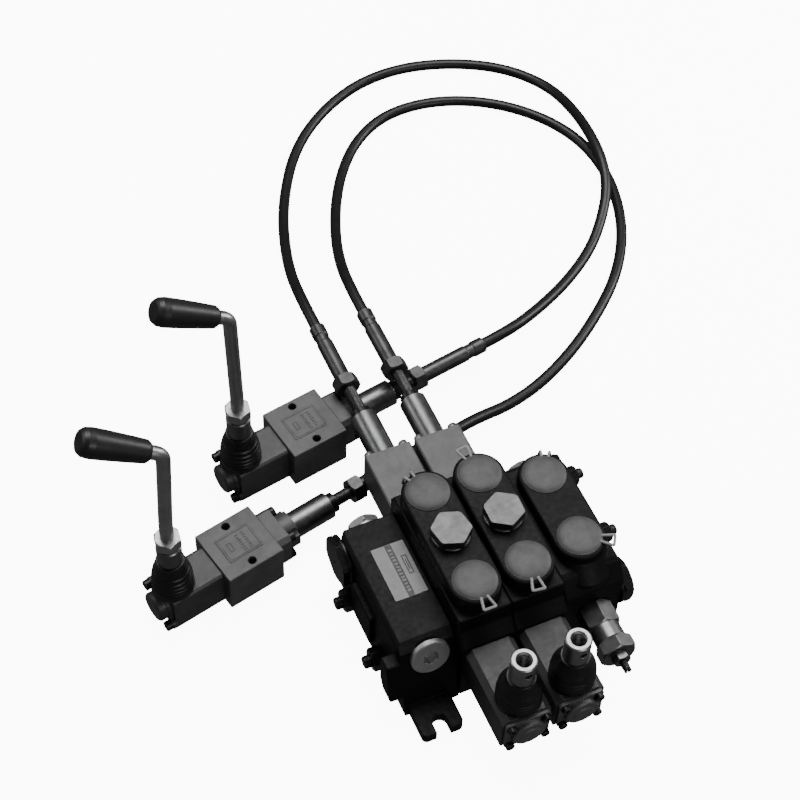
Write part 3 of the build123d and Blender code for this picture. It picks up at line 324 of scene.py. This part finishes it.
def make_materials():
    """Every material by the record's slot, and a few more for details."""
    return {
        "casting": casting_paint(),
        "black_steel": black_steel(),
        "seal_rubber": rubber("seal_rubber"),
        "boot_rubber": rubber("boot_rubber"),
        "zinc": plated("bright_zinc", (0.30, 0.30, 0.302), (0.37, 0.37, 0.373),
                       0.30, 0.42, 0.5 * MM),
        "dark_zinc": plated("dark_zinc", (0.075, 0.075, 0.076), (0.125, 0.125, 0.127),
                            0.34, 0.46, 0.4 * MM),
        "grey_zinc": plated("grey_zinc", (0.17, 0.17, 0.171), (0.22, 0.22, 0.222),
                            0.30, 0.42, 0.6 * MM),
        # Brighter copy of zinc for the socket plug: painted light on its dimly lit front face.
        "socket_zinc_painted_light": plated("socket_zinc_painted_light", (0.56, 0.56, 0.563), (0.64, 0.64, 0.643),
                              0.40, 0.52, 0.5 * MM),
        "lever_zinc": plated("lever_zinc", (0.38, 0.38, 0.383), (0.46, 0.46, 0.463),
                             0.32, 0.44, 0.4 * MM),
        "plug_zinc": plated("plug_zinc", (0.100, 0.100, 0.101), (0.126, 0.126, 0.128),
                            0.36, 0.48, 0.5 * MM),
        "ground_steel": plated("ground_steel", (0.36, 0.36, 0.36), (0.42, 0.42, 0.42),
                               0.22, 0.32, 0.3 * MM),
        "cap_plastic": plastic("cap_plastic", (0.060, 0.060, 0.061), (0.092, 0.092, 0.094),
                               0.46, 0.58, 0.08),
        "tab_plastic": plastic("tab_plastic", (0.24, 0.24, 0.24), (0.30, 0.30, 0.30),
                               0.40, 0.5, 0.05),
        "grey_aluminium": aluminium("grey_aluminium", (0.100, 0.100, 0.102),
                                    (0.130, 0.130, 0.132), (0.26, 0.26, 0.26), 0.42, 0.54),
        "box_aluminium": aluminium("box_aluminium", (0.040, 0.040, 0.041),
                                   (0.058, 0.058, 0.059), (0.17, 0.17, 0.17), 0.40, 0.52),
        "station_grey": aluminium("station_grey", (0.080, 0.080, 0.082),
                                  (0.115, 0.115, 0.117), (0.24, 0.24, 0.24), 0.40, 0.52,
                                  (1.0, 5.0, 1.0)),
        "station_box": aluminium("station_box", (0.050, 0.050, 0.0505),
                                 (0.070, 0.070, 0.0705), (0.13, 0.13, 0.13), 0.34, 0.46),
        "knob_plastic": plastic("knob_plastic", (0.010, 0.010, 0.010), (0.013, 0.013, 0.013),
                                0.36, 0.44, 0.01),
        "cable_jacket": plastic("cable_jacket", (0.0045, 0.0045, 0.0047),
                                (0.0085, 0.0085, 0.0088), 0.32, 0.44, 0.08),
        "label": plastic("label", (0.21, 0.21, 0.212), (0.26, 0.26, 0.262), 0.36, 0.46, 0.02),
        "label_ink": plastic("label_ink", (0.012, 0.012, 0.012), (0.020, 0.020, 0.020),
                             0.4, 0.5, 0.02),
        "label_pale": plastic("label_pale", (0.13, 0.13, 0.13), (0.16, 0.16, 0.16),
                              0.36, 0.46, 0.02),
        "panel_ink": plastic("panel_ink", (0.028, 0.028, 0.028), (0.045, 0.045, 0.045),
                             0.4, 0.5, 0.03),
    }


# CAD nodes whose finish differs from the rest of their slot; the socket plug's is a brighter copy
# of zinc, painted light on its front face
NODE_FINISH = {"lever_box_1": "box_aluminium", "lever_box_2": "box_aluminium",
               "check_plugs": "plug_zinc", "station_boxes": "station_box",
               "relief_body": "grey_zinc", "socket_plug": "socket_zinc_painted_light",
               "lever_rod_near": "lever_zinc", "lever_rod_far": "lever_zinc",
               "station_socket_near": "grey_zinc", "station_socket_far": "grey_zinc",
               "conduit_tubes": "grey_zinc"}


def dress_cad_nodes():
    """Give every CAD node the material of its slot, or its own finish."""
    for part in frame["record"]["subparts"]:
        node = part["node"]
        mesh = frame["nodes"][node].data
        mesh.materials.clear()
        mesh.materials.append(MATERIALS[NODE_FINISH.get(node, part["material_slot"])])


# ---------------------------------------------------------------- mesh helpers
SHARP_ANGLE = radians(38)


def skin(bm, rings):
    """Quads between each ring of corners and the next."""
    for first, second in zip(rings, rings[1:]):
        for step in range(len(first)):
            after = (step + 1) % len(first)
            bm.faces.new((first[step], first[after], second[after], second[step]))


def around(radius, angle):
    """Point on a circle about Z, in metres, from a radius in millimetres."""
    return radius * cos(angle) * MM, radius * sin(angle) * MM


def finish_piece(mesh_maker, name, matrix, slot, body, material=None, smooth=True):
    """Make an object from a bmesh, put it in place and let it ride on a body."""
    mesh = bpy.data.meshes.new(name)
    mesh_maker.to_mesh(mesh)
    mesh_maker.free()
    mesh.transform(matrix)
    if smooth:
        mesh.shade_smooth()
        mesh.set_sharp_from_angle(angle=SHARP_ANGLE)
    piece = bpy.data.objects.new(name, mesh)
    bpy.context.scene.collection.objects.link(piece)
    mesh.materials.append(MATERIALS[material or slot])
    if body:
        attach(piece, body)
    return piece


def revolved(profile, steps=72, loop=False):
    """Skin of revolution about Z from (radius, height) points in millimetres; a loop closes up."""
    bm = bmesh.new()
    rings = []
    for radius, height in profile:
        if radius <= 0:
            rings.append([bm.verts.new((0, 0, height * MM))])
            continue
        ring = []
        for step in range(steps):
            x, y = around(radius, 2 * pi * step / steps)
            ring.append(bm.verts.new((x, y, height * MM)))
        rings.append(ring)
    pairs = list(zip(rings, rings[1:]))
    if loop:
        pairs.append((rings[-1], rings[0]))
    for low, high in pairs:
        for step in range(steps):
            after = (step + 1) % steps
            if len(low) == 1:
                bm.faces.new((low[0], high[after], high[step]))
            elif len(high) == 1:
                bm.faces.new((low[step], low[after], high[0]))
            else:
                bm.faces.new((low[step], low[after], high[after], high[step]))
    bmesh.ops.recalc_face_normals(bm, faces=bm.faces)
    return bm


def rounded(points, share=0.35, steps=4):
    """Soften the inner corners of a profile with short curves."""
    out = [points[0]]
    for before, here, after in zip(points, points[1:], points[2:]):
        a = Vector(before)
        b = Vector(here)
        c = Vector(after)
        reach = share * min((b - a).length, (c - b).length)
        start = b + (a - b).normalized() * reach
        end = b + (c - b).normalized() * reach
        for step in range(steps + 1):
            t = step / steps
            spot = start * (1 - t) ** 2 + b * (2 * t * (1 - t)) + end * t ** 2
            out.append((spot.x, spot.y))
    out.append(points[-1])
    return out


# ---------------------------------------------------------------- where things are
SPOOL_NAMES = (1, 2)
LEVER_BODIES = {1: "valve_lever_1", 2: "valve_lever_2",
                "near": "station_lever_near", "far": "station_lever_far"}
STATION_PIVOT = -36.0
VALVE_PIVOT_Y = -124.0 * MM


def lever_matrix(name):
    """Frame of a lever unit: X outwards, Z up, at the foot of its pivot on the spool axis."""
    if name in STATIONS:
        reach = Matrix.Translation((STATION_PIVOT * MM, 0.0, STATION_Z))
        return station_matrix(name) @ reach @ Matrix.Rotation(pi, 4, "Z")
    place = Matrix.Translation((SECTION_X[name], VALVE_PIVOT_Y, SPOOL_Z))
    return place @ Matrix.Rotation(-pi / 2, 4, "Z")


def along(direction):
    """Rotation that lays the Z axis along a direction."""
    return Vector(direction).to_track_quat("Z", "Y").to_matrix().to_4x4()


# ---------------------------------------------------------------- boots
# outline of a boot from its clamped foot up over its ribs to its neck, as (radius, height)
VALVE_BOOT = [(17.7, 18.0), (17.7, 22.6), (17.3, 24.2), (16.5, 25.4), (17.6, 26.8), (17.6, 28.0),
              (16.5, 29.3), (17.6, 30.6), (17.6, 31.8), (16.5, 33.0), (17.2, 34.6), (16.6, 37.6),
              (14.5, 41.0), (12.9, 44.2), (11.9, 46.4), (11.5, 47.6), (11.5, 49.6), (11.0, 50.4),
              (10.05, 50.4)]
STATION_BOOT = [(17.0, 18.0), (17.0, 22.6), (16.4, 24.2), (15.5, 25.4), (16.7, 27.0), (16.6, 28.2),
                (15.3, 29.6), (16.5, 31.2), (16.3, 32.4), (14.9, 33.8), (15.9, 35.6), (15.6, 37.0),
                (14.1, 38.4), (14.9, 40.4), (14.5, 42.0), (12.9, 43.4), (13.4, 45.4), (12.9, 47.2),
                (11.9, 49.8), (11.5, 51.2), (11.5, 53.4), (11.0, 54.4), (10.05, 54.4)]
# the same from the neck down the inside
VALVE_BOOT_INSIDE = [(10.05, 46.8), (11.5, 44.8), (13.0, 41.2), (14.2, 37.2), (14.5, 31.0),
                     (14.5, 24.4), (15.65, 24.3), (15.65, 18.0)]
STATION_BOOT_INSIDE = [(10.05, 50.8), (10.9, 48.6), (11.5, 45.2), (12.3, 41.2), (13.2, 37.2),
                       (13.8, 33.0), (14.2, 29.0), (14.2, 24.4), (15.65, 24.3), (15.65, 18.0)]


def add_boots():
    """Ribbed rubber boots that are clamped on the boxes and hug the lever sockets."""
    for name, body in LEVER_BODIES.items():
        outline, inside = VALVE_BOOT, VALVE_BOOT_INSIDE
        if name in STATIONS:
            outline, inside = STATION_BOOT, STATION_BOOT_INSIDE
        profile = rounded(outline, 0.45, 3) + inside
        place = lever_matrix(name)
        label = "boot_%s" % name
        boot = finish_piece(revolved(profile, 96, loop=True), label, place, "boot_rubber", None)
        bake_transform(boot)
        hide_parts("lever_boots")


# ---------------------------------------------------------------- port caps
# middle of each cap, the angle of its pull tab, and whether the tab is folded down
CAP_PLACES = {"a1": (-22.0, 42.7, 107.5, 112, True), "b1": (-22.0, -42.7, 107.5, -90, False),
              "a2": (22.0, 42.7, 107.5, 97, False), "b2": (22.0, -42.7, 107.5, -98, False),
              "p": (69.0, 24.3, 104.5, 62, True), "t": (69.0, -36.8, 104.5, -32, False)}
CAP_PROFILE = [(0.0, 3.7), (5.0, 3.6), (9.5, 3.2), (13.0, 2.65), (15.2, 2.0), (16.4, 1.35),
               (16.9, 0.95), (17.05, 0.8), (17.5, 0.7), (17.5, 0.15), (17.2, 0.02),
               (11.8, 0.02), (11.8, -8.0), (10.8, -9.0), (9.6, -9.0), (9.6, -1.5), (0.0, -1.5)]
TAB_REACH = {False: 26.6, True: 28.6}        # outer end of an open tab and of a folded one
TAB_R = 1.15
TAB_Z = 1.0
FOLD_X = 20.6                 # where a folded tab starts to turn down
FOLD_R = 1.1


def tab_points(reach):
    """Frame of a pull tab, with its sides divided and its outer corners rounded."""
    soft = rounded([(15.8, 2.5), (reach, 4.9), (reach, -4.9), (15.8, -2.5)], 0.10, 4)
    points = [Vector((x * MM, y * MM, TAB_Z * MM)) for x, y in soft]
    first, last = points[0], points[-1]
    start = [first.lerp(points[1], step / 14) for step in range(14)]
    end = [points[-2].lerp(last, step / 14) for step in range(1, 15)]
    return start + points[1:-1] + end


def fold_down(bm):
    """Bend everything beyond the fold line of a tab down by a right angle."""
    quarter = FOLD_R * MM * pi / 2
    for vertex in bm.verts:
        run = vertex.co.x - FOLD_X * MM
        if run <= 0:
            continue
        turn = min(run, quarter) / (FOLD_R * MM)
        reach = FOLD_R * MM + vertex.co.z - TAB_Z * MM
        vertex.co.x = FOLD_X * MM + reach * sin(turn)
        vertex.co.z = (TAB_Z - FOLD_R) * MM + reach * cos(turn) - max(0.0, run - quarter)


def swept_bar(points, radius, sides=10):
    """Round bar along a path of points in the XY plane, with closed ends."""
    bm = bmesh.new()
    rings = []
    for index, point in enumerate(points):
        ahead = points[min(index + 1, len(points) - 1)] - points[max(index - 1, 0)]
        side = Vector((-ahead.y, ahead.x, 0.0)).normalized()
        ring = []
        for step in range(sides):
            angle = 2 * pi * step / sides
            offset = side * (radius * cos(angle)) + Vector((0, 0, radius * 0.8 * sin(angle)))
            ring.append(bm.verts.new(point + offset))
        rings.append(ring)
    skin(bm, rings)
    bm.faces.new(rings[0])
    bm.faces.new(rings[-1])
    bmesh.ops.recalc_face_normals(bm, faces=bm.faces)
    return bm


def add_port_caps():
    """Domed plastic caps with a thin lip, a hollow plug and a pull tab."""
    for name, (x, y, z, turn, folded) in CAP_PLACES.items():
        body = "port_cap_" + name
        place = Matrix.Translation((x * MM, y * MM, z * MM))
        cap = finish_piece(revolved(rounded(CAP_PROFILE, 0.3, 2), 96), "cap_" + name, place,
                           "cap_plastic", body)
        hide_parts(body)
        tab = swept_bar(tab_points(TAB_REACH[folded]), TAB_R * MM)
        if folded:
            fold_down(tab)
        swing = place @ Matrix.Rotation(radians(turn), 4, "Z")
        finish_piece(tab, "cap_tab_" + name, swing, "cap_plastic", body, material="tab_plastic")


# ---------------------------------------------------------------- threads
def thread(radius, depth, pitch, low, high, sides=40, rows=6):
    """Helical thread on a cylinder along Z; a negative depth is an internal thread."""
    bm = bmesh.new()
    count = int((high - low) / pitch * rows)
    grid = []
    for row in range(count + 1):
        height = low + (high - low) * row / count
        fade = min(1.0, (height - low) / pitch, (high - height) / pitch)
        line = []
        for step in range(sides):
            phase = (height / pitch - step / sides) % 1.0
            crest = 1.0 - abs(2.0 * phase - 1.0)
            reach = radius + depth * crest * fade
            x, y = around(reach, 2 * pi * step / sides)
            line.append(bm.verts.new((x, y, height * MM)))
        grid.append(line)
    skin(bm, grid)
    bmesh.ops.recalc_face_normals(bm, faces=bm.faces)
    if depth < 0:
        bmesh.ops.reverse_faces(bm, faces=bm.faces)
    return bm


def add_thread(name, origin, direction, sizes, slot, body):
    """Thread that starts at a point and runs along a direction."""
    place = Matrix.Translation(origin) @ along(direction)
    finish_piece(thread(*sizes), name, place, slot, body)


# root radius, depth, pitch, start and end of each thread, in millimetres
VALVE_HUB_THREAD = (5.03, 0.5, 1.5, 171.2, 196.8)
STATION_HUB_THREAD = (5.03, 0.5, 1.5, 117.2, 132.8)
SOCKET_THREAD = (5.06, -0.5, 1.75, 50.3, 71.9)
ROD_THREAD = (5.03, 0.35, 1.5, 0.0, 5.2)
STUD_THREAD = (4.03, 0.35, 1.25, 0.0, 4.6)
RELIEF_THREAD = (3.02, 0.3, 1.0, 0.0, 6.0)
ROD_Y = 28.5 * MM
ROD_Z = 15.0 * MM
STUD_Z = 80.0 * MM
ROD_LEFT = -99.2 * MM         # where the rod threads leave their nuts
ROD_RIGHT = 103.2 * MM
STUD_RIGHT = 101.7 * MM
RELIEF_THREAD_START = (70.0 * MM, -120.7 * MM, 47.0 * MM)


def add_threads():
    """Threads of the cable hubs, tie rods, relief screw and empty lever sockets."""
    for index in SPOOL_NAMES:
        origin = (SECTION_X[index], 0.0, SPOOL_Z)
        add_thread("hub_thread_%d" % index, origin, (0, 1, 0), VALVE_HUB_THREAD,
                   "dark_zinc", "valve")
        place = lever_matrix(index)
        finish_piece(thread(*SOCKET_THREAD), "socket_thread_%d" % index, place,
                     "zinc", LEVER_BODIES[index])
    for name in STATIONS:
        matrix = station_matrix(name)
        origin = matrix @ Vector((0.0, 0.0, STATION_Z))
        direction = matrix.to_3x3() @ Vector((1, 0, 0))
        add_thread("hub_thread_%s" % name, origin, direction, STATION_HUB_THREAD,
                   "dark_zinc", "valve")
    for side in (-1, 1):
        label = "front" if side < 0 else "back"
        y = side * ROD_Y
        add_thread("rod_thread_left_" + label, (ROD_LEFT, y, ROD_Z), (-1, 0, 0),
                   ROD_THREAD, "black_steel", "valve")
        add_thread("rod_thread_right_" + label, (ROD_RIGHT, y, ROD_Z), (1, 0, 0),
                   ROD_THREAD, "black_steel", "valve")
        add_thread("rod_thread_upper_" + label, (STUD_RIGHT, y, STUD_Z), (1, 0, 0),
                   STUD_THREAD, "black_steel", "valve")
    add_thread("relief_thread", RELIEF_THREAD_START, (0, -1, 0),
               RELIEF_THREAD, "black_steel", "relief_adjuster")


# ---------------------------------------------------------------- screws
KNURL_DEPTH = 0.18


def socket_head(radius, height, socket_af):
    """Cap screw head with a knurled side, a broken top edge and a hexagon socket."""
    bm = bmesh.new()
    steps = 48
    corner = socket_af / sqrt(3)

    def hex_radius(angle):
        """Radius of the hexagon at an angle."""
        return corner * cos(pi / 6) / cos((angle + pi / 6) % (pi / 3) - pi / 6)

    levels = [("side", radius, 0.0), ("side", radius, height - 0.7),
              ("round", radius - 0.6, height), ("round", corner + 0.35, height),
              ("hex", None, height - 0.3), ("hex", None, 0.4 * height)]
    rings = []
    for kind, size, level in levels:
        ring = []
        for step in range(steps):
            angle = 2 * pi * step / steps
            reach = size
            if kind == "hex":
                reach = hex_radius(angle)
            elif kind == "side" and step % 2:
                reach = size - KNURL_DEPTH
            x, y = around(reach, angle)
            ring.append(bm.verts.new((x, y, level * MM)))
        rings.append(ring)
    skin(bm, rings)
    bm.faces.new(rings[0])
    bm.faces.new(rings[-1])
    bmesh.ops.recalc_face_normals(bm, faces=bm.faces)
    return bm


REAR_SCREWS = [(-15.0, 13.5), (15.0, 13.5), (-15.0, -13.5), (15.0, -13.5)]
HOUSING_BACK = 118.0


def add_rear_screws():
    """Cap screws that hold the spring housings, on their rear faces."""
    for index in SPOOL_NAMES:
        for number, (x, z) in enumerate(REAR_SCREWS):
            spot = (SECTION_X[index] + x * MM, HOUSING_BACK * MM, SPOOL_Z + z * MM)
            place = Matrix.Translation(spot) @ along((0, 1, 0))
            finish_piece(socket_head(3.9, 4.2, 3.2), "rear_screw_%d_%d" % (index, number),
                         place, "zinc", "valve")


# ---------------------------------------------------------------- plate and panel marks
def rounded_bar(bm, x0, x1, y0, y1, low, high, edge):
    """Add a flat bar with softened top edges to a mesh."""
    low_ring = [(x0, y0), (x1, y0), (x1, y1), (x0, y1)]
    top_ring = [(x0 + edge, y0 + edge), (x1 - edge, y0 + edge),
                (x1 - edge, y1 - edge), (x0 + edge, y1 - edge)]
    base = [bm.verts.new((x * MM, y * MM, low * MM)) for x, y in low_ring]
    rim = [bm.verts.new((x * MM, y * MM, (high - edge) * MM)) for x, y in low_ring]
    top = [bm.verts.new((x * MM, y * MM, high * MM)) for x, y in top_ring]
    for step in range(4):
        after = (step + 1) % 4
        bm.faces.new((base[step], base[after], rim[after], rim[step]))
        bm.faces.new((rim[step], rim[after], top[after], top[step]))
    bm.faces.new(top)
    bm.faces.new(list(reversed(base)))


def bars(spots, low, high, edge):
    """Mesh of several flat bars given as (x0, x1, y0, y1)."""
    bm = bmesh.new()
    for x0, x1, y0, y1 in spots:
        rounded_bar(bm, x0, x1, y0, y1, low, high, edge)
    bmesh.ops.recalc_face_normals(bm, faces=bm.faces)
    return bm


PLATE_TOP = 74.6
PLATE_Y = (-19.5, 29.5)


def frame_bars(x0, x1, y0, y1, width):
    """Four bars round a rectangle."""
    return [(x0, x1, y0, y0 + width), (x0, x1, y1 - width, y1),
            (x0, x0 + width, y0 + width, y1 - width), (x1 - width, x1, y0 + width, y1 - width)]


def add_name_plate():
    """Plain plate: a dark band with pale blocks, a plain badge and faint ruled lines."""
    low, high = PLATE_TOP - 0.02, PLATE_TOP + 0.08
    y0, y1 = PLATE_Y
    band = [(-63.9, -58.6, y0 + 0.3, y1 - 0.3)]
    badge = frame_bars(-55.4, -51.2, -1.0, 16.5, 0.9) + [(-53.7, -52.9, 3.0, 12.5)]
    finish_piece(bars(band + badge, low, high, 0.03), "plate_band", Matrix.Identity(4),
                 "label", "valve", material="label_ink", smooth=False)
    blocks = []
    for step in range(13):
        y = y0 + 4.6 + step * 3.15
        blocks.append((-62.7, -59.9, y, y + 1.5 + 0.5 * (step % 3 == 0)))
    finish_piece(bars(blocks, high - 0.02, high + 0.05, 0.02), "plate_blocks",
                 Matrix.Identity(4), "label", "valve", material="label_pale", smooth=False)
    lines = [(-72.6, -72.3, -8.0, 16.0), (-70.6, -70.3, -10.0, 20.0), (-68.6, -68.3, -4.0, 18.0),
             (-66.6, -66.3, -12.0, 10.0)]
    finish_piece(bars(lines, low, high - 0.03, 0.02), "plate_lines", Matrix.Identity(4),
                 "label", "valve", material="label_pale", smooth=False)


PANEL_TOP = 41.6


def add_station_panels():
    """Generic raised marks on the panel of each station block: a frame and short dashes."""
    ring = frame_bars(11.4, 39.6, -10.8, 10.8, 0.5)
    dashes = []
    for row, x in enumerate((25.5, 31.0)):
        for step in range(7):
            y = -8.6 + step * 2.5
            dashes.append((x, x + 3.0 - 0.6 * ((row + step) % 2), y, y + 1.3))
    badge = frame_bars(15.6, 19.6, -4.2, 4.2, 0.7)
    for name in STATIONS:
        finish_piece(bars(ring + dashes + badge, PANEL_TOP - 0.02, PANEL_TOP + 0.25, 0.08),
                     "panel_marks_" + name, station_matrix(name), "station_grey", "valve",
                     material="panel_ink", smooth=False)


# ---------------------------------------------------------------- stage
FLOOR_HALF = 6.0
LIGHT_AIM = (0.0, 0.1, 0.05)
SURROUND_STRENGTH = 0.10
# place, width, height and power of each softbox
SOFTBOXES = {"top_softbox": ((0.25, 0.75, 1.9), 1.5, 1.1, 33.0),
             "right_softbox": ((1.7, 0.1, 0.9), 0.7, 1.1, 17.0),
             "front_softbox": ((0.3, -1.8, 1.1), 1.0, 0.6, 9.0),
             "left_softbox": ((-1.5, 1.1, 0.9), 0.9, 0.7, 5.0)}


def add_floor():
    """Large plain pale floor."""
    bm = bmesh.new()
    bmesh.ops.create_grid(bm, x_segments=1, y_segments=1, size=FLOOR_HALF)
    floor = finish_piece(bm, "floor", Matrix.Identity(4), "casting", None, smooth=False)
    floor.data.materials.clear()
    floor.data.materials.append(floor_paper())
    floor.visible_diffuse = False
    floor.visible_glossy = False


def add_light(name, place, target, width, height, power):
    """Soft rectangular light aimed at a point."""
    data = bpy.data.lights.new(name, "AREA")
    data.shape = "RECTANGLE"
    data.size = width
    data.size_y = height
    data.energy = power
    light = bpy.data.objects.new(name, data)
    bpy.context.scene.collection.objects.link(light)
    light.location = place
    away = Vector(place) - Vector(target)
    light.rotation_euler = away.to_track_quat("Z", "Y").to_euler()


def add_lights():
    """Softboxes above, in front of and beside the valve in a dim room."""
    for name, (place, width, height, power) in SOFTBOXES.items():
        add_light(name, place, LIGHT_AIM, width, height, power)
    world = bpy.data.worlds.new("surround")
    world.use_nodes = True
    background = world.node_tree.nodes["Background"]
    background.inputs["Color"].default_value = (1.0, 1.0, 1.0, 1.0)
    background.inputs["Strength"].default_value = SURROUND_STRENGTH
    bpy.context.scene.world = world


# ---------------------------------------------------------------- whole scene
add_camera()
MATERIALS = make_materials()
add_cable("cable_a_jacket", "cable_a", CABLE_A)
add_cable("cable_b_jacket", "cable_b", CABLE_B)
dress_cad_nodes()
add_boots()
add_port_caps()
add_threads()
add_rear_screws()
add_name_plate()
add_station_panels()
add_floor()
add_lights()
